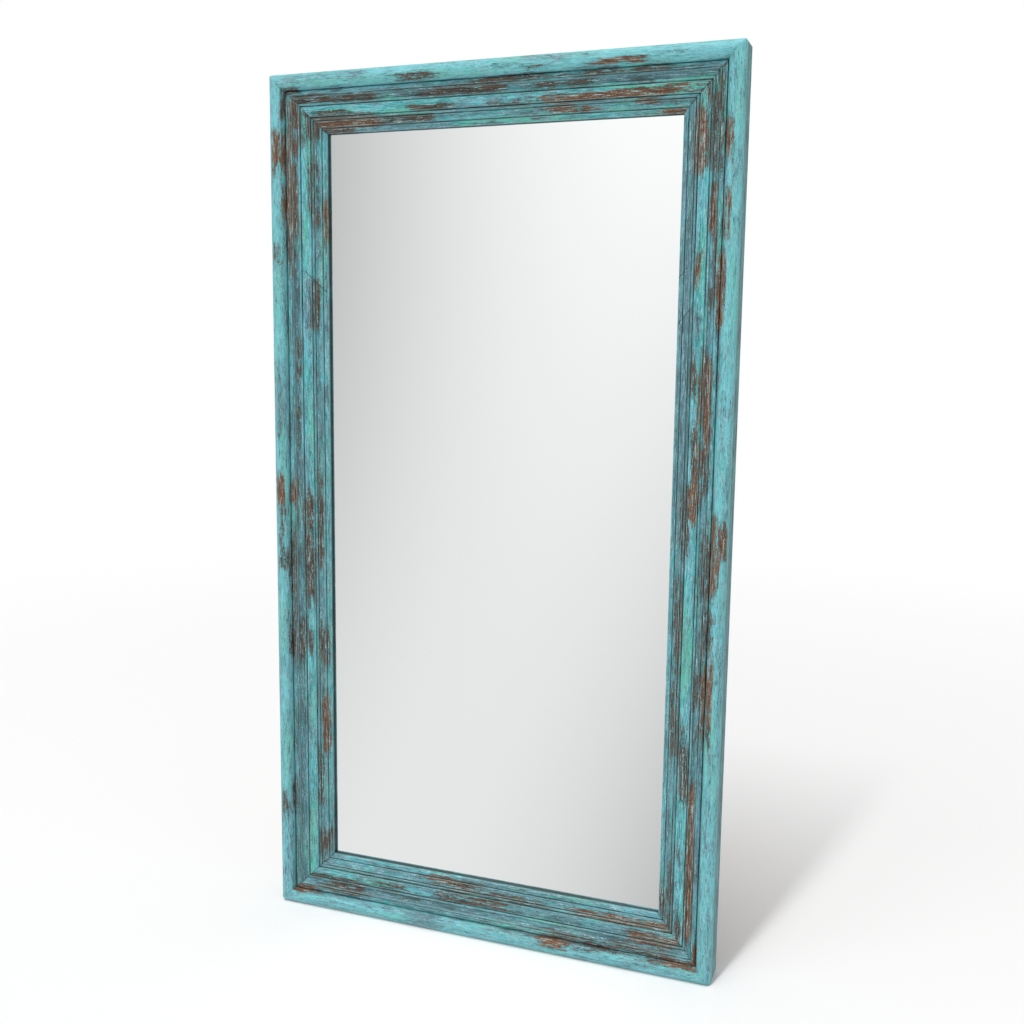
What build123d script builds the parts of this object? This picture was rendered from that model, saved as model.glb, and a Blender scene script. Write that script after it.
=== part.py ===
from build123d import *

import os
from collections import namedtuple
from math import cos, pi, sqrt

# Tall floor mirror in a painted wooden frame. Millimetres, +Z up. The glass faces -Y.
# The origin is on the floor, under the middle of the frame and its back fittings.

os.makedirs("parts", exist_ok=True)

# Overall size
frame_height = 1800.0
frame_width = 980.0

# Outer edge moulding: a rail whose nose is flatter outside its crest, meets the side wall at an arris and
# falls to a quirk on its inner side
edge_width = 34.0
nose_rise = 9.0
nose_fall = 14.5
quirk_width = 2.2
quirk_depth = 6.0
top_corner_radius = 4.0
bottom_corner_radius = 9.0
back_ease = 1.5

# Stepped inner moulding, from the edge moulding towards the glass
shoulder_depth = 14.8
shoulder_width = 8.4
shoulder_swell = 0.7
score_width = 1.4
score_depth = 1.8
bead_width = 3.0
bead_drop = 1.6
bead_swell = 0.9
step_drop = 2.4
cove_width = 10.2
cove_drop = 4.8
cove_swell = -1.6
ridge_lift = 1.0

# The bands after the cove, each as width, drop towards the glass, and swell
ridge_band = (3.8, 0.6, 0.9)
cushion_band = (19.6, 2.0, 1.2)
reed_band = (3.4, 0.8, 1.0)
slope_band = (11.6, 6.0, -1.2)
lip_band = (8.7, 3.7, 1.0)

# The grooves that part those bands
groove_width = 3.1
groove_flank = 0.6
groove_depth = 2.6
groove_step = 1.0

# Glass and its rebate
lip_thickness = 9.0
lip_cover = 10.5
glass_thickness = 4.0
glass_gap = 2.5
glass_seam = 0.5
block_length = 60.0
block_place = 230.0

# Backing board
board_thickness = 5.0
board_lap = 14.0
board_gap = 2.0

# Back battens
batten_thickness = 13.0

# Biscuits in the mitres
biscuit_length = 32.0
biscuit_width = 15.0
biscuit_thickness = 3.5
biscuit_end_room = 0.8
biscuit_side_room = 0.05
edge_biscuit_cover = 24.0
face_biscuit_cover = 9.0

# Flat corner braces
brace_arm = 90.0
brace_width = 20.0
brace_thickness = 2.0
brace_end_radius = 6.0
brace_hole_end = 12.0
brace_hole_pitch = 24.0

# Screws
screw_shank_radius = 2.0
screw_head_radius = 3.5
head_rim = 0.15
screw_sides = 8
screw_room = 0.05
screw_tip_cover = 3.0
pan_head_radius = 4.0
pan_head_height = 2.4
pan_head_bevel = 1.1
board_screw_bite = 12.0
board_screws_across = 3
board_screws_up = 4
board_screw_corner = 90.0

# Strap hangers and their rings
hanger_drop = 420.0
strap_width = 18.0
strap_thickness = 1.6
strap_end_radius = 6.0
strap_hole_clear = 11.0
strap_hole_end = 9.0
strap_hole_pitch = 20.0
strap_holes = 3
ring_wire_radius = 2.0
ring_wire_sides = 8
ring_room = 0.3
ring_corner = 4.0
ring_half_width = 14.0
ring_arm = 6.0

# Wall bumpers
bumper_width = 21.0
bumper_height = 9.0
bumper_bevel = 2.5
bumper_from_end = 60.0

# Worked out from the sizes above
bands = (ridge_band, cushion_band, reed_band, slope_band, lip_band)
cove_start = edge_width + shoulder_width + score_width + bead_width
band_start = cove_start + cove_width
bead_end_depth = shoulder_depth + bead_drop
cove_start_depth = bead_end_depth + step_drop
band_start_depth = cove_start_depth + cove_drop - ridge_lift
sight_edge = band_start + sum(band[0] for band in bands) + groove_width * (len(bands) - 1)
lip_front = band_start_depth + sum(band[1] for band in bands) + groove_step * (len(bands) - 1)
glass_front = lip_front + lip_thickness
moulding_back = glass_front + glass_thickness
frame_depth = moulding_back + batten_thickness
rebate_edge = sight_edge - lip_cover
board_edge = rebate_edge - board_lap
batten_edge = board_edge - board_gap
batten_middle = (edge_width + batten_edge) / 2
front_y = -(frame_depth + bumper_height) / 2
back_y = front_y + frame_depth
ring_offset = strap_thickness + ring_wire_radius + ring_room
ring_reach = ring_corner + ring_arm + ring_half_width + ring_wire_radius
strap_first_hole = ring_reach + strap_hole_clear
strap_length = strap_first_hole + strap_hole_pitch * (strap_holes - 1) + strap_hole_end

Side = namedtuple("Side", "name start inward along length")
Corner = namedtuple("Corner", "name x z to_x to_z radius")

half_width = frame_width / 2
LEFTWARD, RIGHTWARD = Vector(-1, 0, 0), Vector(1, 0, 0)
UPWARD, DOWNWARD = Vector(0, 0, 1), Vector(0, 0, -1)

# The four sides as seen from the front, each followed so that its section faces the same way
SIDES = (
    Side("top", Vector(-half_width, front_y, frame_height), DOWNWARD, RIGHTWARD, frame_width),
    Side("bottom", Vector(half_width, front_y, 0), UPWARD, LEFTWARD, frame_width),
    Side("left", Vector(-half_width, front_y, 0), RIGHTWARD, UPWARD, frame_height),
    Side("right", Vector(half_width, front_y, frame_height), LEFTWARD, DOWNWARD, frame_height),
)

# Each corner with the directions, seen from the front, that lead into the frame
CORNERS = (
    Corner("top_left", -half_width, frame_height, 1, -1, top_corner_radius),
    Corner("top_right", half_width, frame_height, -1, -1, top_corner_radius),
    Corner("bottom_left", -half_width, 0, 1, 1, bottom_corner_radius),
    Corner("bottom_right", half_width, 0, -1, 1, bottom_corner_radius),
)


def layer(depth):
    """The upright plane at this depth behind the frame's foremost line, seen from the front."""
    return Plane.XZ.offset(-(front_y + depth))


def points_behind(spots, distance):
    """These points of the back, this far behind the frame."""
    return [(x, back_y + distance, z) for x, z in spots]


def at_corner(corner, across, up):
    """The point at these distances inside the frame's outer edges at one corner."""
    return corner.x + corner.to_x * across, corner.z + corner.to_z * up


def section_plane(side):
    """The plane of a side's section: x runs inward from the outer edge, y runs towards the wall."""
    return Plane(origin=side.start, x_dir=side.inward, z_dir=side.along)


def mitre_planes(side):
    """The two planes at 45 degrees that cut a side to length, each facing the part that stays."""
    far_end = side.start + side.along * side.length
    first = Plane(origin=side.start, z_dir=side.along - side.inward)
    last = Plane(origin=far_end, z_dir=-side.along - side.inward)
    return first, last


def mitre_points(offset, depth):
    """A plane at each corner, on its mitre line and with x along it, at this offset from both edges."""
    planes = []
    for corner in CORNERS:
        x, z = at_corner(corner, offset, offset)
        along_mitre = (corner.to_x, 0, corner.to_z)
        planes.append(Plane(origin=(x, front_y + depth, z), x_dir=along_mitre, z_dir=(0, 1, 0)))
    return planes


def swell_arc(start, end, rise):
    """An arc whose middle stands this far in front of its chord, or behind it when negative."""
    middle = ((start[0] + end[0]) / 2, (start[1] + end[1]) / 2 - rise)
    ThreePointArc(start, middle, end)


def biscuit(room_along, room_across, room_thick):
    """A lens-shaped biscuit, long way on x and flat on z, or the slot for it with these clearances."""
    half_length = biscuit_length / 2 + room_along
    half_width = biscuit_width / 2 + room_across
    with BuildPart() as lens:
        with BuildSketch():
            with BuildLine():
                ThreePointArc((-half_length, 0), (0, half_width), (half_length, 0))
                ThreePointArc((half_length, 0), (0, -half_width), (-half_length, 0))
            make_face()
        extrude(amount=biscuit_thickness / 2 + room_thick, both=True)
    return lens.part


def screw_stretch(start, run, radius, bevel=0):
    """A many-sided stretch of a screw along -Y, from this distance on, its far end bevelled."""
    with BuildPart() as stretch:
        with BuildSketch(Plane.XZ.offset(start)):
            RegularPolygon(radius, screw_sides)
        extrude(amount=run)
        if bevel:
            chamfer(stretch.faces().sort_by(Axis.Y)[0].edges(), length=bevel)
    return stretch.part


def plate_screw_length(plate_thickness):
    """The length of a flat-head screw that holds a plate on a batten."""
    return plate_thickness + batten_thickness - screw_tip_cover


def plate_screw(plate_thickness):
    """A flat-head screw for a plate on a batten, its head at y 0 and its end down y."""
    with BuildPart() as screw:
        add(screw_stretch(0, head_rim + head_bevel, screw_head_radius, head_bevel))
        add(screw_stretch(0, plate_screw_length(plate_thickness), screw_shank_radius))
    return screw.part


def plate_hole(plate_thickness):
    """The countersunk hole for that screw, through the plate and into the batten."""
    depth = plate_screw_length(plate_thickness) + screw_room
    with BuildPart() as hole:
        add(screw_stretch(0, head_rim + head_bevel, screw_head_radius + screw_room, head_bevel))
        add(screw_stretch(0, depth, screw_shank_radius + screw_room))
    return hole.part


# A countersunk head narrows by its bevel to the shank
head_bevel = (screw_head_radius - screw_shank_radius) * cos(pi / screw_sides)
brace_hole = plate_hole(brace_thickness)
strap_hole = plate_hole(strap_thickness)
board_screw_length = board_thickness + board_screw_bite
board_screw_hole = screw_stretch(0, board_screw_length + screw_room, screw_shank_radius + screw_room)

biscuit_piece = biscuit(0, 0, 0)
biscuit_slot = biscuit(biscuit_end_room, biscuit_end_room, biscuit_side_room)
edge_biscuit_offset = edge_width / 2
edge_biscuit_depth = frame_depth - edge_biscuit_cover
face_biscuit_offset = (edge_width + rebate_edge) / 2
face_biscuit_depth = moulding_back - face_biscuit_cover

# The outer edge mouldings
for side in SIDES:
    nose_end = edge_width - quirk_width
    with BuildPart() as edge_moulding:
        with BuildSketch(section_plane(side)):
            with BuildLine():
                TangentArc((nose_end / 2, 0), (0, nose_rise), tangent=(-1, 0))
                TangentArc((nose_end / 2, 0), (nose_end, nose_fall), tangent=(1, 0))
                Polyline(
                    (nose_end, nose_fall),
                    (nose_end, nose_fall + quirk_depth),
                    (edge_width, nose_fall + quirk_depth),
                    (edge_width, frame_depth),
                    (back_ease, frame_depth),
                    (0, frame_depth - back_ease),
                    (0, nose_rise),
                )
            make_face()
        extrude(amount=side.length)
        for cut in mitre_planes(side):
            split(bisect_by=cut, keep=Keep.TOP)
        with BuildSketch(layer(frame_depth)):
            for corner in CORNERS:
                with Locations(at_corner(corner, 0, 0)):
                    Rectangle(2 * corner.radius, 2 * corner.radius)
                with Locations(at_corner(corner, corner.radius, corner.radius)):
                    Circle(corner.radius, mode=Mode.SUBTRACT)
        extrude(amount=frame_depth, mode=Mode.SUBTRACT)
        with Locations(mitre_points(edge_biscuit_offset, edge_biscuit_depth)):
            add(biscuit_slot, mode=Mode.SUBTRACT)
    edge_moulding.part.label = f"edge_moulding_{side.name}"
    export_step(edge_moulding.part, f"parts/edge_moulding_{side.name}.step")

# The places of the backing board's screws, in the strip where the board laps the inner moulding
board_screw_line = (board_edge + rebate_edge) / 2
screw_run_x = frame_width - 2 * board_screw_line
screw_run_z = frame_height - 2 * board_screw_line
first_across = screw_run_x / 2 - board_screw_corner
first_up = screw_run_z / 2 - board_screw_corner
board_screw_spots = []
for row in range(board_screws_across):
    x = first_across * (2 * row / (board_screws_across - 1) - 1)
    board_screw_spots.append((x, board_screw_line))
    board_screw_spots.append((x, frame_height - board_screw_line))
for row in range(board_screws_up):
    z = frame_height / 2 + first_up * (2 * row / (board_screws_up - 1) - 1)
    board_screw_spots.append((-screw_run_x / 2, z))
    board_screw_spots.append((screw_run_x / 2, z))
board_screw_places = points_behind(board_screw_spots, board_thickness - batten_thickness)

# The stepped inner mouldings
for side in SIDES:
    shoulder_end = (edge_width + shoulder_width, shoulder_depth)
    score_end = (shoulder_end[0] + score_width, shoulder_depth)
    score_floor = (shoulder_end[0] + score_width / 2, shoulder_depth + score_depth)
    cove_end = (band_start, cove_start_depth + cove_drop)
    with BuildPart() as face_moulding:
        with BuildSketch(section_plane(side)):
            with BuildLine():
                swell_arc((edge_width, shoulder_depth), shoulder_end, shoulder_swell)
                Polyline(shoulder_end, score_floor, score_end)
                swell_arc(score_end, (cove_start, bead_end_depth), bead_swell)
                Line((cove_start, bead_end_depth), (cove_start, cove_start_depth))
                swell_arc((cove_start, cove_start_depth), cove_end, cove_swell)
                spot = (band_start, band_start_depth)
                Line(cove_end, spot)
                for width, drop, swell in bands:
                    band_end = (spot[0] + width, spot[1] + drop)
                    swell_arc(spot, band_end, swell)
                    spot = (band_end[0] + groove_width, band_end[1] + groove_step)
                    if band_end[0] + groove_width < sight_edge:
                        Polyline(
                            band_end,
                            (band_end[0] + groove_flank, band_end[1] + groove_depth),
                            (spot[0] - groove_flank, band_end[1] + groove_depth),
                            spot,
                        )
                Polyline(
                    (sight_edge, lip_front),
                    (sight_edge, glass_front),
                    (rebate_edge, glass_front),
                    (rebate_edge, moulding_back),
                    (edge_width, moulding_back),
                    (edge_width, shoulder_depth),
                )
            make_face()
        extrude(amount=side.length)
        for cut in mitre_planes(side):
            split(bisect_by=cut, keep=Keep.TOP)
        with Locations(mitre_points(face_biscuit_offset, face_biscuit_depth)):
            add(biscuit_slot, mode=Mode.SUBTRACT)
        with Locations(board_screw_places):
            add(board_screw_hole, mode=Mode.SUBTRACT)
    face_moulding.part.label = f"face_moulding_{side.name}"
    export_step(face_moulding.part, f"parts/face_moulding_{side.name}.step")

# The biscuits, one at each mitre of both mouldings
for name, offset, depth in (
    ("edge_biscuits", edge_biscuit_offset, edge_biscuit_depth),
    ("face_biscuits", face_biscuit_offset, face_biscuit_depth),
):
    with BuildPart() as biscuits:
        with Locations(mitre_points(offset, depth)):
            add(biscuit_piece)
    biscuits.part.label = name
    export_step(biscuits.part, f"parts/{name}.step")

# The mirror glass, with its edges seamed
glass_low = rebate_edge + glass_gap
glass_width = frame_width - 2 * glass_low
glass_height = frame_height - 2 * glass_low
with BuildPart() as mirror_glass:
    with BuildSketch(layer(moulding_back)):
        with Locations((0, frame_height / 2)):
            Rectangle(glass_width, glass_height)
    extrude(amount=glass_thickness)
    chamfer(mirror_glass.faces().filter_by(Axis.Y).edges(), length=glass_seam)
mirror_glass.part.label = "mirror_glass"
export_step(mirror_glass.part, "parts/mirror_glass.step")

# The setting blocks under the glass
with BuildPart() as setting_blocks:
    with BuildSketch(layer(moulding_back)):
        with Locations([(x, rebate_edge + glass_gap / 2) for x in (-block_place, block_place)]):
            Rectangle(block_length, glass_gap)
    extrude(amount=glass_thickness)
setting_blocks.part.label = "setting_blocks"
export_step(setting_blocks.part, "parts/setting_blocks.step")

# The backing board
with BuildPart() as backing_board:
    with BuildSketch(layer(moulding_back + board_thickness)):
        with Locations((0, frame_height / 2)):
            Rectangle(frame_width - 2 * board_edge, frame_height - 2 * board_edge)
    extrude(amount=board_thickness)
    with Locations(board_screw_places):
        add(board_screw_hole, mode=Mode.SUBTRACT)
backing_board.part.label = "backing_board"
export_step(backing_board.part, "parts/backing_board.step")

# The backing board's screws: one pan-head screw, set at every place
with BuildPart() as board_screw:
    add(screw_stretch(0, board_screw_length, screw_shank_radius))
    with BuildSketch(Plane.XZ):
        RegularPolygon(pan_head_radius, screw_sides)
    extrude(amount=-pan_head_height)
    chamfer(board_screw.faces().sort_by(Axis.Y)[-1].edges(), length=pan_head_bevel)
with BuildPart() as board_screws:
    with Locations(board_screw_places):
        add(board_screw.part)
board_screws.part.label = "board_screws"
export_step(board_screws.part, "parts/board_screws.step")

# The places of the braces' screws: two on each arm, counted from the arm's end
brace_corner = batten_middle - brace_width / 2
brace_holes = [brace_arm - brace_hole_end, brace_arm - brace_hole_end - brace_hole_pitch]
brace_spots = {}
for corner in CORNERS:
    on_rail = [at_corner(corner, brace_corner + reach, batten_middle) for reach in brace_holes]
    on_stile = [at_corner(corner, batten_middle, brace_corner + reach) for reach in brace_holes]
    brace_spots[corner.name] = on_rail + on_stile
all_brace_spots = [spot for spots in brace_spots.values() for spot in spots]

# The places of the hangers, on the middle of both back stiles, and of their screws
hanger_z = frame_height - hanger_drop
hanger_x = {"left": batten_middle - half_width, "right": half_width - batten_middle}
strap_drops = [strap_first_hole + strap_hole_pitch * hole for hole in range(strap_holes)]
strap_spots = {name: [(x, hanger_z - drop) for drop in strap_drops] for name, x in hanger_x.items()}
all_strap_spots = [spot for spots in strap_spots.values() for spot in spots]

# The back battens: stiles at full height between the edge mouldings, rails between the stiles
stile_height = frame_height - 2 * edge_width
rail_length = frame_width - 2 * batten_edge
batten_width = batten_edge - edge_width
BATTENS = (
    ("left", batten_middle - half_width, frame_height / 2, batten_width, stile_height),
    ("right", half_width - batten_middle, frame_height / 2, batten_width, stile_height),
    ("top", 0, frame_height - batten_middle, rail_length, batten_width),
    ("bottom", 0, batten_middle, rail_length, batten_width),
)
for name, x, z, width, height in BATTENS:
    with BuildPart() as batten:
        with BuildSketch(layer(frame_depth)):
            with Locations((x, z)):
                Rectangle(width, height)
        extrude(amount=batten_thickness)
        with Locations(points_behind(all_brace_spots, brace_thickness)):
            add(brace_hole, mode=Mode.SUBTRACT)
        with Locations(points_behind(all_strap_spots, strap_thickness)):
            add(strap_hole, mode=Mode.SUBTRACT)
    batten.part.label = f"back_batten_{name}"
    export_step(batten.part, f"parts/back_batten_{name}.step")

# The flat corner braces, each an L across the joint of a stile and a rail
for corner in CORNERS:
    inner = brace_corner + brace_width
    reach = brace_corner + brace_arm
    with BuildPart() as brace:
        with BuildSketch(layer(frame_depth + brace_thickness)) as brace_outline:
            with BuildLine():
                Polyline(
                    at_corner(corner, brace_corner, brace_corner),
                    at_corner(corner, reach, brace_corner),
                    at_corner(corner, reach, inner),
                    at_corner(corner, inner, inner),
                    at_corner(corner, inner, reach),
                    at_corner(corner, brace_corner, reach),
                    close=True,
                )
            make_face()
            by_distance = brace_outline.vertices().sort_by_distance(at_corner(corner, inner, inner))
            fillet(by_distance[1:-1], radius=brace_end_radius)
        extrude(amount=brace_thickness)
        with Locations(points_behind(brace_spots[corner.name], brace_thickness)):
            add(brace_hole, mode=Mode.SUBTRACT)
    brace.part.label = f"corner_brace_{corner.name}"
    export_step(brace.part, f"parts/corner_brace_{corner.name}.step")

# The screws of the corner braces
brace_screw = plate_screw(brace_thickness)
with BuildPart() as brace_screws:
    with Locations(points_behind(all_brace_spots, brace_thickness)):
        add(brace_screw)
brace_screws.part.label = "brace_screws"
export_step(brace_screws.part, "parts/brace_screws.step")

# The strap hangers: a flat strap whose top end is rolled round the bar of its ring
roll_radius = ring_wire_radius + ring_room + strap_thickness
for name, x in hanger_x.items():
    with BuildPart() as strap:
        strap_side = (x - strap_width / 2, back_y, hanger_z)
        with BuildSketch(Plane(origin=strap_side, x_dir=(0, 1, 0), z_dir=(1, 0, 0))):
            with Locations((strap_thickness / 2, -strap_length / 2)):
                Rectangle(strap_thickness, strap_length)
            with Locations((ring_offset, 0)):
                Circle(roll_radius)
                Circle(ring_wire_radius + ring_room, mode=Mode.SUBTRACT)
        extrude(amount=strap_width)
        fillet(strap.edges().filter_by(Axis.Y).group_by(Axis.Z)[0], radius=strap_end_radius)
        with Locations(points_behind(strap_spots[name], strap_thickness)):
            add(strap_hole, mode=Mode.SUBTRACT)
    strap.part.label = f"hanger_strap_{name}"
    export_step(strap.part, f"parts/hanger_strap_{name}.step")

# The screws of the strap hangers
hanger_screw = plate_screw(strap_thickness)
with BuildPart() as hanger_screws:
    with Locations(points_behind(all_strap_spots, strap_thickness)):
        add(hanger_screw)
hanger_screws.part.label = "hanger_screws"
export_step(hanger_screws.part, "parts/hanger_screws.step")

# The rings: round wire bent to a D, hanging from its straight bar
for name, x in hanger_x.items():
    bar = ring_half_width - ring_corner
    low = -(ring_corner + ring_arm)
    turn = ring_corner / sqrt(2)
    with BuildPart() as ring:
        ring_plane = Plane(origin=(x, back_y + ring_offset, hanger_z), x_dir=(1, 0, 0), z_dir=(0, -1, 0))
        with BuildLine(ring_plane) as ring_path:
            Line((0, 0), (bar, 0))
            ThreePointArc((bar, 0), (bar + turn, turn - ring_corner), (ring_half_width, -ring_corner))
            Line((ring_half_width, -ring_corner), (ring_half_width, low))
            ThreePointArc((ring_half_width, low), (0, low - ring_half_width), (-ring_half_width, low))
            Line((-ring_half_width, low), (-ring_half_width, -ring_corner))
            ThreePointArc((-ring_half_width, -ring_corner), (-bar - turn, turn - ring_corner), (-bar, 0))
            Line((-bar, 0), (0, 0))
        with BuildSketch(Plane(origin=(x, back_y + ring_offset, hanger_z), z_dir=(1, 0, 0))):
            RegularPolygon(ring_wire_radius, ring_wire_sides, rotation=180 / ring_wire_sides)
        sweep()
    ring.part.label = f"hanger_ring_{name}"
    export_step(ring.part, f"parts/hanger_ring_{name}.step")

# The wall bumpers: square pads, stuck to the back of the edge mouldings near their ends
for corner in CORNERS:
    with BuildPart() as bumper:
        with BuildSketch(layer(frame_depth)):
            with Locations(at_corner(corner, edge_width / 2, bumper_from_end)):
                Rectangle(bumper_width, bumper_width)
        extrude(amount=-bumper_height)
        chamfer(bumper.faces().sort_by(Axis.Y)[-1].edges(), length=bumper_bevel)
    bumper.part.label = f"bumper_{corner.name}"
    export_step(bumper.part, f"parts/bumper_{corner.name}.step")

print("sight edge", sight_edge, "glass front", glass_front, "frame depth", frame_depth)
print("glass", glass_width, "x", glass_height, "front y", front_y, "back y", back_y)
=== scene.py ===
import random
from math import pi, radians, sin

import bmesh
import bpy
from mathutils import Matrix, Quaternion, Vector, noise


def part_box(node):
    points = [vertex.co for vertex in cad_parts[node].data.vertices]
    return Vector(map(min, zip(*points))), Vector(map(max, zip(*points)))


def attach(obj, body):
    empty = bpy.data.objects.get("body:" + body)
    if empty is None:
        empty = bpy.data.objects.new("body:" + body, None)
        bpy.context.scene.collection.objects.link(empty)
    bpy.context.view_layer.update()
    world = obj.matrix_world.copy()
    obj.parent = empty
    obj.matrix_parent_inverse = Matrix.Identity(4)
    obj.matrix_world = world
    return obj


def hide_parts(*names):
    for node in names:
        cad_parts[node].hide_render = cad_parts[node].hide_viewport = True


# Tall floor mirror in a stepped, mitred wooden frame with distressed turquoise paint.
# Metres, +Z up. The glass faces -Y. The section below is in millimetres.

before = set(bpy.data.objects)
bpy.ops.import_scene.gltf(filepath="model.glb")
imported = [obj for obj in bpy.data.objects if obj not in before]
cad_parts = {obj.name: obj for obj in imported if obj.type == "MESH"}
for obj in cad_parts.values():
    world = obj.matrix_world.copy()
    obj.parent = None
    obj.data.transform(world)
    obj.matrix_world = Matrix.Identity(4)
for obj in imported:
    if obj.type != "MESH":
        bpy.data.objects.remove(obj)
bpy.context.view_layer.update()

MM = 0.001
SEED = 7

frame_low, frame_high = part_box("edge_moulding_top")
HALF_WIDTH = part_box("edge_moulding_right")[1].x
HEIGHT = frame_high.z
FRONT_Y = frame_low.y
BACK_Y = frame_high.y
DEPTH = (BACK_Y - FRONT_Y) / MM
SIGHT_EDGE = (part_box("face_moulding_left")[1].x + HALF_WIDTH) / MM
GLASS_LOW, GLASS_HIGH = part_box("mirror_glass")
GLASS_FRONT = (GLASS_LOW.y - FRONT_Y) / MM
GLASS_BACK = (GLASS_HIGH.y - FRONT_Y) / MM
REBATE_WIDTH = 10.5
REBATE_EDGE = SIGHT_EDGE - REBATE_WIDTH
FACE_START, QUIRK_FLOOR = 34.0, 20.5
TOP_RADIUS, BOTTOM_RADIUS = 4.0, 9.0
BACK = Vector((0, 1, 0))

# The sides as seen from the front: the corner each starts from, its way inward and its way along
SIDES = {
    "left": (Vector((-1, 0, 1)), Vector((1, 0, 0)), Vector((0, 0, -1))),
    "right": (Vector((1, 0, 1)), Vector((-1, 0, 0)), Vector((0, 0, -1))),
    "top": (Vector((-1, 0, 1)), Vector((0, 0, -1)), Vector((1, 0, 0))),
    "bottom": (Vector((-1, 0, 0)), Vector((0, 0, 1)), Vector((1, 0, 0))),
}
SIDE_OFFSET = {"left": 0.0, "right": 3.1, "top": 7.3, "bottom": 11.9}

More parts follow.
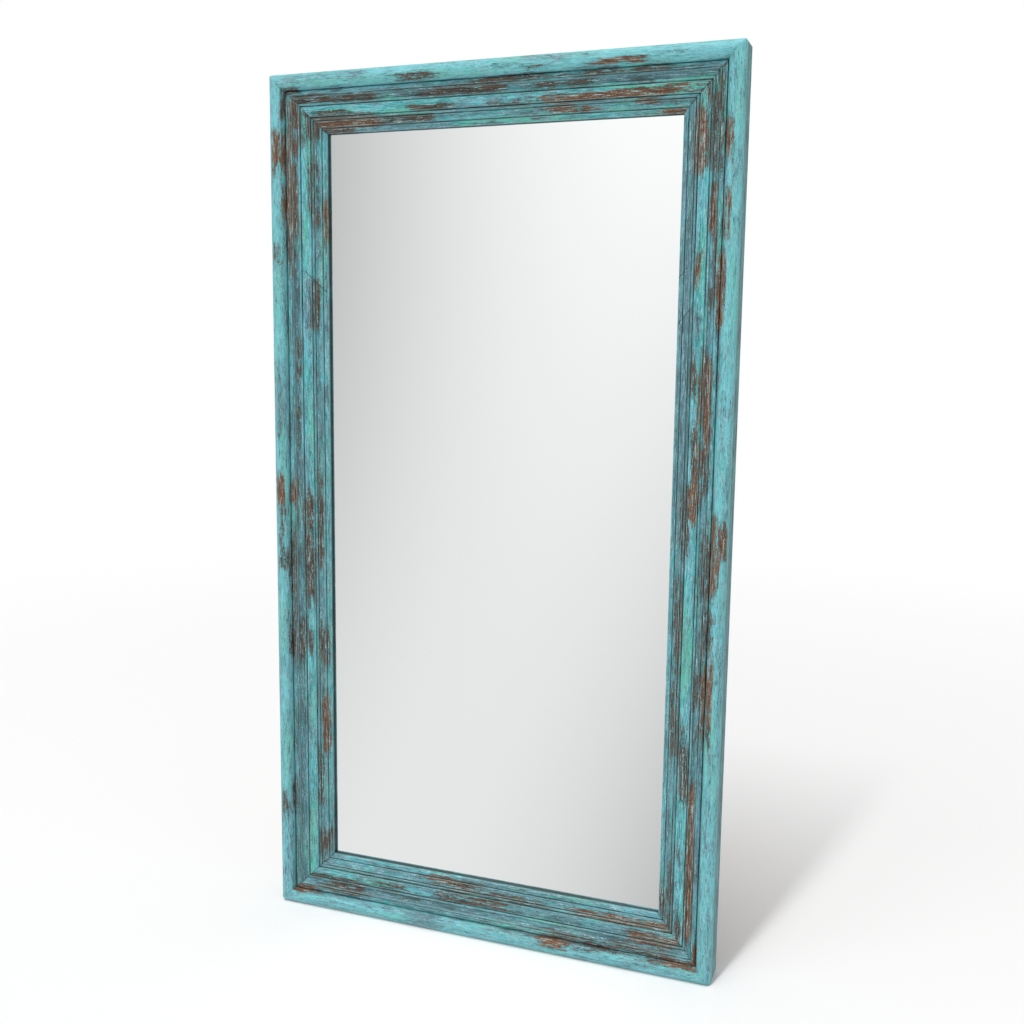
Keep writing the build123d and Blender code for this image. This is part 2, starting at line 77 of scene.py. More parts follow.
# Where the paint is worn through, side by side: start and end along the side from its left or upper end,
# start and end across it from the outer edge, all in millimetres, what shows, and how much of it
WEAR = {
    "left": (
        (30, 80, 29, 36, "brown", 0.8), (45, 95, 45, 58, "rust", 0.8), (75, 120, 60, 84, "brown", 0.7),
        (120, 190, 7, 32, "rust", 0.9), (185, 300, 27, 52, "rust", 0.7), (130, 150, 32, 57, "rust", 0.8),
        (345, 365, 7, 30, "rust", 0.7), (300, 395, 32, 47, "brown", 0.6), (185, 270, 79, 98, "brown", 0.75),
        (270, 315, 108, 116, "rust", 0.9), (400, 445, 47, 53, "grey", 0.8), (425, 505, 70, 81, "grey", 0.9),
        (425, 505, 84, 97, "brown", 0.85), (615, 715, 7, 27, "grey", 0.55), (840, 875, 9, 24, "rust", 0.95),
        (855, 870, 32, 48, "rust", 0.9), (900, 1025, 10, 28, "brown", 0.6), (885, 1080, 61, 81, "brown", 0.95),
        (885, 995, 91, 100, "brown", 0.95), (815, 880, 61, 74, "grey", 0.7), (835, 885, 93, 102, "brown", 0.6),
        (970, 1220, 30, 43, "brown", 0.7), (1020, 1185, 63, 77, "brown", 0.5), (1160, 1220, 48, 59, "brown", 0.9),
        (1170, 1195, 59, 77, "brown", 0.85), (1175, 1225, 93, 110, "brown", 0.95), (1330, 1430, 98, 111, "rust", 0.95),
        (1465, 1550, 88, 95, "brown", 0.95), (1540, 1585, 7, 23, "brown", 0.7), (555, 600, 51, 59, "brown", 0.8),
        (690, 755, 50, 55, "brown", 0.8), (1525, 1570, 32, 40, "brown", 0.7), (1640, 1660, 87, 113, "brown", 0.9),
        (1360, 1400, 59, 81, "grey", 0.5), (60, 115, 80, 100, "brown", 0.8), (70, 120, 35, 45, "rust", 0.6),
    ),
    "right": (
        (1735, 1772, 29, 38, "rust", 0.9), (1690, 1735, 70, 96, "brown", 0.7), (40, 70, 42, 56, "brown", 0.7),
        (145, 190, 16, 32, "rust", 0.9), (275, 340, 18, 29, "rust", 0.85), (390, 495, 22, 37, "rust", 0.95),
        (880, 920, 4, 32, "rust", 0.85), (920, 995, 14, 32, "rust", 0.9), (1060, 1295, 18, 36, "brown", 0.7),
        (1150, 1235, 18, 36, "rust", 0.9), (70, 205, 39, 72, "brown", 0.75), (255, 320, 47, 58, "rust", 0.8),
        (330, 450, 43, 52, "brown", 0.6), (585, 640, 43, 68, "rust", 0.9), (660, 710, 43, 56, "rust", 0.85),
        (730, 810, 43, 56, "brown", 0.85), (565, 830, 58, 68, "rust", 0.8), (700, 770, 66, 78, "brown", 0.9),
        (810, 860, 66, 77, "rust", 0.95), (130, 210, 72, 92, "rust", 0.95), (400, 420, 74, 84, "rust", 0.8),
        (585, 610, 75, 84, "brown", 0.95), (835, 910, 79, 96, "brown", 0.9), (495, 555, 72, 88, "grey", 0.6),
        (1180, 1225, 39, 57, "brown", 0.95), (1420, 1700, 47, 60, "rust", 1.0), (1330, 1415, 63, 79, "brown", 0.95),
        (1005, 1325, 86, 103, "brown", 0.65), (500, 890, 88, 110, "grey", 0.7), (1585, 1630, 88, 99, "brown", 0.8),
        (910, 1300, 34, 50, "brown", 0.55), (1295, 1335, 68, 88, "brown", 0.6), (1630, 1655, 103, 115, "brown", 0.9),
        (130, 500, 92, 115, "grey", 0.5), (1510, 1590, 32, 47, "grey", 0.6),
    ),
    "top": (
        (30, 62, 28, 36, "brown", 0.9), (45, 112, 42, 56, "brown", 0.9), (70, 230, 84, 108, "brown", 0.9),
        (85, 130, 106, 116, "brown", 0.9), (560, 640, 4, 14, "grey", 0.6),
        (300, 355, 19, 29, "brown", 0.8), (40, 215, 7, 19, "grey", 0.5), (720, 785, 19, 26, "rust", 0.9),
        (565, 595, 22, 29, "brown", 0.7), (465, 565, 34, 41, "brown", 0.95), (100, 220, 46, 57, "brown", 0.8),
        (360, 495, 47, 58, "brown", 0.9), (325, 360, 48, 57, "grey", 0.8), (560, 685, 50, 59, "brown", 0.65),
        (595, 700, 73, 85, "rust", 0.95), (730, 830, 71, 83, "rust", 0.95), (845, 870, 67, 83, "rust", 0.8),
        (325, 380, 75, 85, "brown", 0.75), (500, 595, 75, 85, "brown", 0.75), (100, 215, 91, 106, "rust", 0.95),
        (215, 335, 91, 102, "brown", 0.85), (110, 165, 75, 116, "brown", 0.8), (625, 650, 93, 102, "rust", 0.95),
        (670, 680, 95, 102, "rust", 0.8), (785, 800, 88, 95, "rust", 0.9), (845, 865, 108, 116, "rust", 0.9),
        (570, 860, 32, 41, "brown", 0.6), (410, 450, 71, 85, "grey", 0.7), (710, 860, 44, 55, "grey", 0.6),
        (145, 335, 104, 116, "grey", 0.6),
    ),
    "bottom": (
        (900, 950, 29, 38, "rust", 0.9), (34, 70, 30, 42, "rust", 0.8), (60, 110, 58, 70, "brown", 0.6),
        (630, 665, 16, 31, "rust", 0.9), (725, 900, 27, 32, "brown", 0.7), (330, 370, 3, 29, "grey", 0.6),
        (120, 185, 41, 69, "brown", 0.75), (400, 520, 65, 83, "brown", 0.75), (520, 695, 69, 85, "grey", 0.7),
        (245, 285, 62, 76, "brown", 0.7), (365, 400, 102, 111, "rust", 0.85), (400, 460, 87, 110, "brown", 0.75),
        (710, 880, 87, 98, "rust", 0.9), (450, 600, 88, 97, "brown", 0.75), (645, 880, 33, 47, "brown", 0.7),
        (145, 400, 45, 65, "grey", 0.5), (740, 880, 50, 83, "grey", 0.6), (210, 390, 78, 89, "grey", 0.6),
        (840, 875, 89, 98, "rust", 0.95), (460, 640, 104, 116, "grey", 0.4), (820, 900, 55, 75, "rust", 0.8),
    ),
}

# What the paint material reads from the mouldings
PAINT_MARKS = ("worn", "rusty", "greyed", "groove", "field", "arris")

# The wear fades out over these lengths in millimetres; the rest are strengths from 0 to 1, and the lip's depth
WEAR_FADE_ALONG, WEAR_FADE_ACROSS = 45.0, 5.0
FLOOR_GRIME = 0.3
# Painted shade on the side walls, backs and rebate: the grooves' dark colour at this strength
SIDE_SHADE = 0.5
# Painted shade on the lip's inner side by the glass: the depth where that side starts, and its strength
LIP_FRONT, LIP_SIDE_SHADE = 39.7, 0.85
MITRE_WASH = {"face": 0.6, "edge": 0.25}

# The mouldings' own mesh and its wear, in millimetres
LOOP_SPACING, ARRIS_BEVEL = 4.0, 0.45
WAVE_DEPTH, KNOCK_DEPTH = 0.35, 2.2
MITRE_GAP_WIDTH, MITRE_GAP_DEPTH = 1.2, 0.7

# The wire of the hanger rings and the screws, in millimetres: a head as radius and depth from its flat outwards
RING_WIRE, RING_BAR_DROP = 1.9, 1.85
RING_HALF_WIDTH, RING_BEND, RING_ARM = 14.0, 4.0, 6.0
SHANK = 1.85
PAN_HEAD = ((2.4, 0.0), (3.1, 0.25), (3.7, 0.75), (4.0, 1.5), (4.0, 2.4))
FLAT_HEAD = ((3.1, 0.0), (3.2, 0.1), (3.2, 0.2), (1.85, 1.6))

# Grime of each band up to this distance from the outer edge
BAND_GRIME = (
    (27.0, 0.0), (44.0, 0.25), (57.0, 0.5), (63.0, 0.1), (84.5, -0.25), (92.0, 0.35), (106.0, 0.3), (117.0, 0.05),
)

# Where a section lies deep enough to hold dark wash and painted shade: middle, half width and strength, in millimetres
GROOVES = (
    (33.0, 1.7, 0.68), (43.1, 1.2, 0.6), (47.2, 1.0, 0.5), (56.4, 1.3, 0.75), (62.3, 1.7, 0.85), (85.0, 1.7, 0.85),
    (91.5, 1.6, 0.75), (106.2, 1.6, 0.8),
)

# The arrises of the stepped moulding, where pale rubbed paint and a painted highlight lie, as distances from the outer
# edge
ARRISES = (42.2, 46.6, 57.2, 60.6, 64.1, 83.3, 86.8, 89.8, 93.3, 104.5, 108.0, 115.9)

# Light and camera: watts, strengths, and the view that was fitted to the object's edges
SOFTBOX_POWER, SOFTBOX_SIZE, SOFTBOX_AWAY = 4650.0, (1.5, 20.0), 30
FILL_POWER, FILL_SPREAD = 0.7, 70
STUDIO_LIGHT = (0.52, 0.52, 0.52, 1)
CAMERA_LENS, CAMERA_ROLL = 40.98, 0.7145
CAMERA_PLACE, CAMERA_FORWARD = Vector((0.870, -2.1933, 1.2603)), Vector((-0.3482, 0.9264, -0.14315))


def srgb(code):
    """The linear colour of an sRGB hex value, with alpha."""
    parts = [int(code[i:i + 2], 16) / 255 for i in (1, 3, 5)]
    return [c / 12.92 if c <= 0.04045 else ((c + 0.055) / 1.055) ** 2.4 for c in parts] + [1.0]


# Materials

def new_material(name):
    """An empty node material and its tree, with the output node placed."""
    material = bpy.data.materials.new(name)
    material.use_nodes = True
    tree = material.node_tree
    tree.nodes.clear()
    return material, tree


def add_node(tree, kind, settings=None, inputs=None):
    """One node: settings are its own properties, inputs are socket values or links by socket name or number."""
    node = tree.nodes.new(kind)
    for key, value in (settings or {}).items():
        setattr(node, key, value)
    for key, value in (inputs or {}).items():
        socket = node.inputs[key]
        if isinstance(value, bpy.types.NodeSocket):
            tree.links.new(value, socket)
        else:
            socket.default_value = value
    return node


def math_node(tree, operation, first, second=0.0, third=0.0):
    """The result of one math operation."""
    return add_node(tree, "ShaderNodeMath", {"operation": operation}, {0: first, 1: second, 2: third}).outputs[0]


def weighed(tree, start, *shares):
    """A start value plus each signal times its weight."""
    for signal, weight in shares:
        start = math_node(tree, "MULTIPLY_ADD", signal, weight, start)
    return start


def part_of(tree, signal, amount):
    """A signal times an amount."""
    return math_node(tree, "MULTIPLY", signal, amount)


def blend_node(tree, factor, first, second):
    """A colour between two others."""
    return add_node(tree, "ShaderNodeMix", {"data_type": "RGBA"}, {0: factor, 6: first, 7: second}).outputs[2]


def grain_noise(tree, place, along, across, detail=4.0, roughness=0.55, shift=0.0):
    """Noise drawn out along the grain: along and across are the size of its marks in millimetres."""
    scale = (1 / (along * MM), 1 / (across * MM), 1 / (across * MM))
    moved = (shift, shift * 1.7, shift * 0.6)
    mapped = add_node(tree, "ShaderNodeMapping", None, {"Vector": place, "Location": moved, "Scale": scale})
    inputs = {"Vector": mapped.outputs[0], "Scale": 1.0, "Detail": detail, "Roughness": roughness}
    return add_node(tree, "ShaderNodeTexNoise", {"noise_dimensions": "3D"}, inputs).outputs["Fac"]


def ramp(tree, value, low, high):
    """0 below low, 1 above high, and a smooth step between."""
    inputs = {"Value": value, "From Min": low, "From Max": high}
    settings = {"interpolation_type": "SMOOTHSTEP", "clamp": True}
    return add_node(tree, "ShaderNodeMapRange", settings, inputs).outputs[0]


def finish_material(tree, shader):
    """Links the shader to the material's output."""
    add_node(tree, "ShaderNodeOutputMaterial", None, {"Surface": shader.outputs[0]})


def marks(tree, place, along, across, detail=4.0, roughness=0.6, shift=0.0):
    """Marks along the grain as a signal that swings about zero, mostly between -1 and 1."""
    raw = grain_noise(tree, place, along, across, detail, roughness, shift)
    return math_node(tree, "MULTIPLY_ADD", raw, 9.0, -4.5)


def swing(tree, *shares):
    """A mix of such signals as a share from 0 to 1."""
    return ramp(tree, weighed(tree, 0.0, *shares), -0.8, 0.8)


def crack_line(tree, place, start, end, wander):
    """A fine split that runs aslant over the moulding, from one point along and across it to another, in metres."""
    split = add_node(tree, "ShaderNodeSeparateXYZ", None, {0: place})
    inputs = {"Value": split.outputs["X"]}
    inputs |= {"From Min": start[0], "From Max": end[0], "To Min": start[1], "To Max": end[1]}
    course = add_node(tree, "ShaderNodeMapRange", {"clamp": False}, inputs).outputs[0]
    beside = math_node(tree, "SUBTRACT", split.outputs["Y"], course)
    off = math_node(tree, "ABSOLUTE", math_node(tree, "MULTIPLY_ADD", wander, 0.0012, beside))
    middle, half = (start[0] + end[0]) / 2, abs(end[0] - start[0]) / 2
    within = math_node(tree, "COMPARE", split.outputs["X"], middle, half)
    return math_node(tree, "MULTIPLY", within, ramp(tree, off, 0.0011, 0.0003))


def distressed_paint():
    """Brushed turquoise milk paint rubbed back to old brown wood: chalky and combed along the grain in pale, deep,
    greenish and bluish strands, greyed to lavender where it is thin, pale arrises partly rubbed and partly a painted
    highlight, dark wash and painted shade in the grooves, painted shade on the side walls and the lip's inner side,
    and patches of reddish brown wood where it is gone."""
    material, tree = new_material("distressed_turquoise_paint")
    place = add_node(tree, "ShaderNodeAttribute", {"attribute_name": "grain"}).outputs["Vector"]
    worn, rusty, greyed, groove, field, arris = (
        add_node(tree, "ShaderNodeAttribute", {"attribute_name": name}).outputs["Fac"] for name in PAINT_MARKS
    )
    patches = marks(tree, place, 70, 12, 3.0)
    strands = marks(tree, place, 26, 3.2, 5.0, 0.65, 3.0)
    threads = marks(tree, place, 16, 1.2, 4.0, 0.65, 9.0)
    combed = marks(tree, place, 30, 1.8, 4.0, 0.65, 17.0)
    specks = marks(tree, place, 4.5, 2.2, 4.0, 0.7, 14.0)
    tone = marks(tree, place, 190, 22, 2.0, 0.5, 21.0)

    # How near the paint is to gone: below 1 it holds
    grit = weighed(tree, 0.0, (strands, 0.24), (threads, 0.16), (specks, 0.20), (patches, 0.24))
    loss = weighed(tree, 0.10, (field, 0.30), (worn, 1.05), (greyed, 0.12), (grit, 1.0))
    bare = ramp(tree, loss, 0.93, 1.07)
    edge_of_loss = math_node(tree, "MULTIPLY", ramp(tree, loss, 0.62, 0.95), math_node(tree, "SUBTRACT", 1.0, bare))

    # Sound paint: strands from deep to pale, drifting greener and bluer
    paint = blend_node(tree, swing(tree, (strands, 0.7), (combed, 0.5)), srgb("#35979A"), srgb("#76CBD0"))
    paint = blend_node(tree, part_of(tree, ramp(tree, tone, 0.2, 1.3), 0.6), paint, srgb("#5FBF9F"))
    paint = blend_node(tree, part_of(tree, ramp(tree, tone, -0.2, -1.3), 0.5), paint, srgb("#74C4D6"))

    # The nose and the side wall are handled more and paler than the stepped bands
    paint = blend_node(tree, weighed(tree, 0.72, (field, -0.72)), paint, srgb("#84CBD1"))

    # Thin paint goes lavender grey, and dark strands show between the brush marks
    thin_level = weighed(tree, -0.15, (field, 0.50), (greyed, 1.1), (combed, 0.75), (patches, 0.25))
    grey = blend_node(tree, ramp(tree, threads, -0.8, 0.8), srgb("#506E7C"), srgb("#929FB2"))
    surface = blend_node(tree, part_of(tree, ramp(tree, thin_level, 0.35, 0.95), 0.8), paint, grey)
    dark_level = weighed(tree, -0.50, (field, 0.42), (threads, 0.8), (patches, 0.25), (greyed, 0.5))
    surface = blend_node(tree, part_of(tree, ramp(tree, dark_level, 0.1, 0.7), 0.85), surface, srgb("#1F545A"))
    surface = blend_node(tree, part_of(tree, edge_of_loss, 0.55), surface, srgb("#40605E"))

    # Old wood under it, redder in the rusty places
    brown = blend_node(tree, swing(tree, (strands, 0.5), (threads, 0.6)), srgb("#2B2623"), srgb("#625246"))
    rust = blend_node(tree, swing(tree, (combed, 0.6), (specks, 0.5)), srgb("#4B3226"), srgb("#8C6547"))
    wood = blend_node(tree, rusty, brown, rust)
    surface = blend_node(tree, bare, surface, wood)

    # Flecks where a later, paler coat still sits on the strands
    fleck_level = weighed(tree, -0.85, (field, 0.35), (combed, 0.7), (specks, 0.45), (worn, 0.2))
    surface = blend_node(tree, part_of(tree, ramp(tree, fleck_level, 0.1, 0.5), 0.75), surface, srgb("#A9DFE4"))

    # Arrises are pale, partly where the paint is rubbed and partly as a painted highlight; dark wash and painted shade
    # lie in the grooves, and painted shade on the side walls and the lip's inner side
    rubbed_and_highlit = math_node(tree, "MULTIPLY", arris, ramp(tree, grit, -0.7, 0.5))
    surface = blend_node(tree, part_of(tree, rubbed_and_highlit, 0.55), surface, srgb("#B4E2E2"))
    wash_and_shade = ramp(tree, weighed(tree, 0.0, (groove, 1.15), (grit, 0.35)), 0.2, 1.0)
    surface = blend_node(tree, wash_and_shade, surface, srgb("#12393B"))
    dirt = ramp(tree, weighed(tree, -0.75, (specks, 0.8), (field, 0.15), (worn, 0.35)), 0.25, 0.6)
    surface = blend_node(tree, part_of(tree, dirt, 0.7), surface, srgb("#27332F"))

    # Three hairline splits in the face, narrower than the mesh's loops
    splits = [
        crack_line(tree, place, (0.395, 0.070), (0.440, 0.116), strands),
        crack_line(tree, place, (3.495, 0.100), (3.515, 0.116), strands),
        crack_line(tree, place, (3.570, 0.088), (3.600, 0.116), strands),
    ]
    split = math_node(tree, "MAXIMUM", math_node(tree, "MAXIMUM", splits[0], splits[1]), splits[2])
    surface = blend_node(tree, split, surface, srgb("#14211F"))

    # Paint stands above the wood, and grain runs through both
    relief = weighed(tree, 0.0, (bare, -0.55), (threads, 0.10), (strands, 0.14), (split, -1.0), (dirt, -0.2))
    bump = add_node(tree, "ShaderNodeBump", None, {"Strength": 0.9, "Distance": 0.0007, "Height": relief})
    roughness = weighed(tree, 0.48, (bare, 0.22), (field, 0.06))
    shader = add_node(
        tree, "ShaderNodeBsdfPrincipled", None,
        {"Base Color": surface, "Roughness": roughness, "IOR": 1.5, "Normal": bump.outputs[0]},
    )
    finish_material(tree, shader)
    return material


def silvered_glass():
    """Silvered float glass: a clean mirror, a breath grey."""
    material, tree = new_material("silvered_float_glass")
    shader = add_node(
        tree, "ShaderNodeBsdfPrincipled", None,
        {"Base Color": srgb("#F1F3F3"), "Metallic": 1.0, "Roughness": 0.02},
    )
    finish_material(tree, shader)
    return material


def grained_wood(name, pale, dark, ring, upright):
    """Planed softwood: soft bands along the grain, satin from the planer."""
    material, tree = new_material(name)
    place = add_node(tree, "ShaderNodeTexCoord").outputs["Object"]
    turn = (0, pi / 2, 0) if upright else (0, 0, 0)
    turned = add_node(tree, "ShaderNodeMapping", None, {"Vector": place, "Rotation": turn}).outputs[0]
    bands = grain_noise(tree, turned, 220, ring, 3.0, 0.5)
    pores = grain_noise(tree, turned, 12, 0.5, 2.0, 0.6, 5.0)
    colour = blend_node(tree, ramp(tree, bands, 0.38, 0.62), pale, dark)
    colour = blend_node(tree, part_of(tree, ramp(tree, pores, 0.5, 0.7), 0.35), colour, dark)
    bump = add_node(tree, "ShaderNodeBump", None, {"Strength": 0.5, "Distance": 0.0003, "Height": pores})
    shader = add_node(
        tree, "ShaderNodeBsdfPrincipled", None,
        {"Base Color": colour, "Roughness": 0.62, "IOR": 1.5, "Normal": bump.outputs[0]},
    )
    finish_material(tree, shader)
    return material


def brown_hardboard():
    """Pressed hardboard: brown fibre flecks, matt."""
    material, tree = new_material("brown_hardboard")
    place = add_node(tree, "ShaderNodeTexCoord").outputs["Object"]
    flecks = grain_noise(tree, place, 3.0, 3.0, 5.0, 0.7)
    clouds = grain_noise(tree, place, 90, 90, 2.0, 0.5, 4.0)
    colour = blend_node(tree, ramp(tree, flecks, 0.4, 0.62), srgb("#6E4B2F"), srgb("#8D6642"))
    colour = blend_node(tree, part_of(tree, ramp(tree, clouds, 0.4, 0.7), 0.3), colour, srgb("#5A3B24"))
    bump = add_node(tree, "ShaderNodeBump", None, {"Strength": 0.4, "Distance": 0.0003, "Height": flecks})
    shader = add_node(
        tree, "ShaderNodeBsdfPrincipled", None,
        {"Base Color": colour, "Roughness": 0.7, "IOR": 1.5, "Normal": bump.outputs[0]},
    )
    finish_material(tree, shader)
    return material


def zinc_plate():
    """Zinc plated steel: bright bluish grey with a faint cloudy spangle."""
    material, tree = new_material("zinc_plated_steel")
    place = add_node(tree, "ShaderNodeTexCoord").outputs["Object"]
    spangle = grain_noise(tree, place, 4.0, 4.0, 3.0, 0.6)
    colour = blend_node(tree, ramp(tree, spangle, 0.38, 0.62), srgb("#B3B6BA"), srgb("#C6C9CC"))
    roughness = math_node(tree, "MULTIPLY_ADD", spangle, 0.2, 0.25)
    shader = add_node(
        tree, "ShaderNodeBsdfPrincipled", None, {"Base Color": colour, "Metallic": 1.0, "Roughness": roughness}
    )
    finish_material(tree, shader)
    return material


def black_rubber():
    """Moulded rubber: matt black with a fine tooth."""
    material, tree = new_material("black_rubber")
    place = add_node(tree, "ShaderNodeTexCoord").outputs["Object"]
    tooth = grain_noise(tree, place, 0.8, 0.8, 2.0)
    bump = add_node(tree, "ShaderNodeBump", None, {"Strength": 0.3, "Distance": 0.0002, "Height": tooth})
    shader = add_node(
        tree, "ShaderNodeBsdfPrincipled", None,
        {"Base Color": srgb("#26262A"), "Roughness": 0.75, "IOR": 1.5, "Normal": bump.outputs[0]},
    )
    finish_material(tree, shader)
    return material


def white_ground():
    """Seamless white paper that keeps the object's soft shadow and runs out to plain white. A mirror sees the
    studio through it."""
    material, tree = new_material("white_paper_ground")
    path = add_node(tree, "ShaderNodeLightPath")
    paper = add_node(tree, "ShaderNodeBsdfDiffuse", None, {"Color": srgb("#F6F6F6")})
    place = add_node(tree, "ShaderNodeTexCoord").outputs["Object"]
    away = add_node(tree, "ShaderNodeVectorMath", {"operation": "LENGTH"}, {0: place}).outputs["Value"]
    far = math_node(tree, "MULTIPLY", ramp(tree, away, 2.0, 5.0), path.outputs["Is Camera Ray"])
    glow = add_node(tree, "ShaderNodeEmission", None, {"Color": (1, 1, 1, 1), "Strength": 1.0})
    lit = add_node(tree, "ShaderNodeMixShader", None, {0: far, 1: paper.outputs[0], 2: glow.outputs[0]})
    clear = add_node(tree, "ShaderNodeBsdfTransparent")
    mirrored = path.outputs["Is Glossy Ray"]
    mixed = add_node(tree, "ShaderNodeMixShader", None, {0: mirrored, 1: lit.outputs[0], 2: clear.outputs[0]})
    finish_material(tree, mixed)
    return material


# Geometry

def finish_piece(bm, name, material, nodes, body="frame"):
    """Makes the mesh a piece of the object that rides on a body and stands for CAD nodes."""
    mesh = bpy.data.meshes.new(name)
    bm.to_mesh(mesh)
    bm.free()
    piece = bpy.data.objects.new(name, mesh)
    bpy.context.scene.collection.objects.link(piece)
    mesh.materials.append(material)
    mesh.shade_smooth()
    mesh.set_sharp_from_angle(angle=radians(32))
    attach(piece, body)
    if nodes:
        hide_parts(*nodes)
    return piece


def arc(start, end, rise, steps):
    """Points of a shallow arc after its start: its middle stands this far in front of the chord."""
    points = []
    for i in range(1, steps + 1):
        t = i / steps
        bow = 4 * t * (1 - t) * rise
        points.append((start[0] + (end[0] - start[0]) * t, start[1] + (end[1] - start[1]) * t - bow))
    return points


NOSE_RISE, NOSE_FALL, NOSE_END = 9.0, 14.5, 31.8
NOSE_CREST = NOSE_END / 2


def nose_depth(u):
    """The depth of the nose at a distance from the outer edge: a flatter outer half and a round inner half."""
    fall = NOSE_RISE if u < NOSE_CREST else NOSE_FALL
    radius = (NOSE_CREST * NOSE_CREST + fall * fall) / (2 * fall)
    offset = u - NOSE_CREST
    return radius - (radius * radius - offset * offset) ** 0.5


def edge_section():
    """The outer moulding's section: nose, quirk, and the plain sides and back."""
    steps = 30
    points = []
    for i in range(steps + 1):
        # Closer together near both ends, where the nose is steep
        u = NOSE_END * (1 - (1 + sin(pi / 2 - pi * i / steps)) / 2)
        points.append((u, nose_depth(u)))
    points += [(NOSE_END, 17.5), (NOSE_END, QUIRK_FLOOR), (FACE_START, QUIRK_FLOOR), (FACE_START, DEPTH)]
    points += [(1.5, DEPTH), (0, DEPTH - 1.5)]
    points += [(0, depth) for depth in (56.0, 48.0, 40.0, 38.6, 37.6, 30.0, 22.0, 15.0, 11.0)]
    return points


def face_section():
    """The stepped inner moulding's section, from the quirk to the sight edge and round its back."""
    points = [(FACE_START, 14.8)]
    points += arc(points[-1], (42.4, 14.8), 0.7, 7)
    points += [(43.1, 16.6), (43.8, 14.8)]
    points += arc(points[-1], (46.8, 16.4), 0.9, 4)
    points += [(46.8, 18.8)]
    points += arc(points[-1], (57.0, 23.6), -1.6, 8)
    points += [(57.0, 22.6)]
    for width, drop, swell, steps in (
        (3.8, 0.6, 0.9, 4), (19.6, 2.0, 1.2, 16), (3.4, 0.8, 1.0, 4), (11.6, 6.0, -1.2, 10), (8.7, 3.7, 1.0, 8),
    ):
        start = points[-1]
        end = (start[0] + width, start[1] + drop)
        points += arc(start, end, swell, steps)
        if end[0] < SIGHT_EDGE - 1:
            points += [(end[0] + 0.6, end[1] + 2.6), (end[0] + 2.5, end[1] + 2.6), (end[0] + 3.1, end[1] + 1.0)]
    points += [(SIGHT_EDGE, GLASS_FRONT - 4), (SIGHT_EDGE, GLASS_FRONT), (REBATE_EDGE, GLASS_FRONT)]
    points += [(REBATE_EDGE, GLASS_BACK), (FACE_START, GLASS_BACK), (FACE_START, 35.0)]
    return points


def wear_at(side, along, across):
    """The placed wear at a point of a side, and how rusty and how greyed it is."""
    worn = rusty = greyed = 0.0
    for start, end, low, high, kind, amount in WEAR[side]:
        out_along = max(start - along, along - end, 0) / WEAR_FADE_ALONG
        out_across = max(low - across, across - high, 0) / WEAR_FADE_ACROSS
        share = amount * max(0.0, 1 - out_along - out_across)
        if kind == "grey":
            greyed = max(greyed, share)
        else:
            worn = max(worn, share)
            if kind == "rust":
                rusty = max(rusty, min(1.0, share * 1.3))
    return worn, rusty, greyed


def groove_at(across):
    """How deep in a groove a point of the section is, from 0 to 1."""
    deepest = 0.0
    for middle, half, strength in GROOVES:
        deepest = max(deepest, strength * max(0.0, 1 - abs(across - middle) / (half * 1.5)))
    return deepest


def band_grime(across):
    """The grime that a band of the stepped moulding holds: hollows hold it and rounds are wiped clean."""
    return next((grime for edge, grime in BAND_GRIME if across < edge), 0.0)


def arris_at(across):
    """How near a point of the section is to an arris, where hands and cloths rub the paint pale and a highlight is
    painted.
    """
    return max(max(0.0, 1 - abs(across - place) / 0.8) for place in ARRISES)


def slice_near(bm, end, along, normal, distances, reach):
    """Adds edge loops at these distances from one end of a moulding, in millimetres."""
    for distance in distances:
        faces = [
            f for f in bm.faces if len(f.verts) < 8 and abs((f.verts[0].co - end).dot(along)) < reach * MM
        ]
        # Each edge and vertex once, in the order they are met
        edges = dict.fromkeys(e for f in faces for e in f.edges)
        verts = dict.fromkeys(v for f in faces for v in f.verts)
        around = faces + list(edges) + list(verts)
        bmesh.ops.bisect_plane(bm, geom=around, plane_co=end + normal * distance * MM, plane_no=normal)


def moulding_blank(section, origin, inward, along, length):
    """A square-ended length of moulding, with its arrises broken and loops along it that leave room for wear."""
    bm = bmesh.new()
    verts = [bm.verts.new(origin + inward * u * MM + BACK * d * MM) for u, d in section]
    ring = [bm.edges.new((verts[i - 1], verts[i])) for i in range(len(verts))]
    pushed = bmesh.ops.extrude_edge_only(bm, edges=ring)
    far = [v for v in pushed["geom"] if isinstance(v, bmesh.types.BMVert)]
    bmesh.ops.translate(bm, verts=far, vec=along * length * MM)
    bmesh.ops.recalc_face_normals(bm, faces=bm.faces[:])
    hard = [e for e in bm.edges if e.is_manifold and e.calc_face_angle() > radians(24)]
    bmesh.ops.bevel(
        bm, geom=hard, offset=ARRIS_BEVEL * MM, offset_type="OFFSET", segments=2, profile=0.5, affect="EDGES",
        material=-1, clamp_overlap=True,
    )
    rails = [e for e in bm.edges if abs((e.verts[0].co - e.verts[1].co).normalized().dot(along)) > 0.99]
    bmesh.ops.subdivide_edges(bm, edges=rails, cuts=int(length / LOOP_SPACING), use_grid_fill=True)
    return bm


def cut_mitres(bm, kind, origin, inward, along, length):
    """Cuts both ends of a moulding to the mitre and closes them, with a few loops close to them."""
    far_end = origin + along * length * MM
    for end, towards in ((origin, along), (far_end, -along)):
        normal = (towards - inward).normalized()
        cut = bmesh.ops.bisect_plane(
            bm, geom=bm.verts[:] + bm.edges[:] + bm.faces[:], plane_co=end, plane_no=normal, clear_inner=True
        )
        edges = [e for e in cut["geom_cut"] if isinstance(e, bmesh.types.BMEdge)]
        bmesh.ops.edgeloop_fill(bm, edges=edges)
        slice_near(bm, end, along, normal, (0.7, 1.8), SIGHT_EDGE + 8)
        if kind == "edge":
            slice_near(bm, end, along, towards, [1.3 * step for step in range(1, 8)], 14)
    bmesh.ops.remove_doubles(bm, verts=bm.verts[:], dist=0.00001)
    bmesh.ops.recalc_face_normals(bm, faces=bm.faces[:])


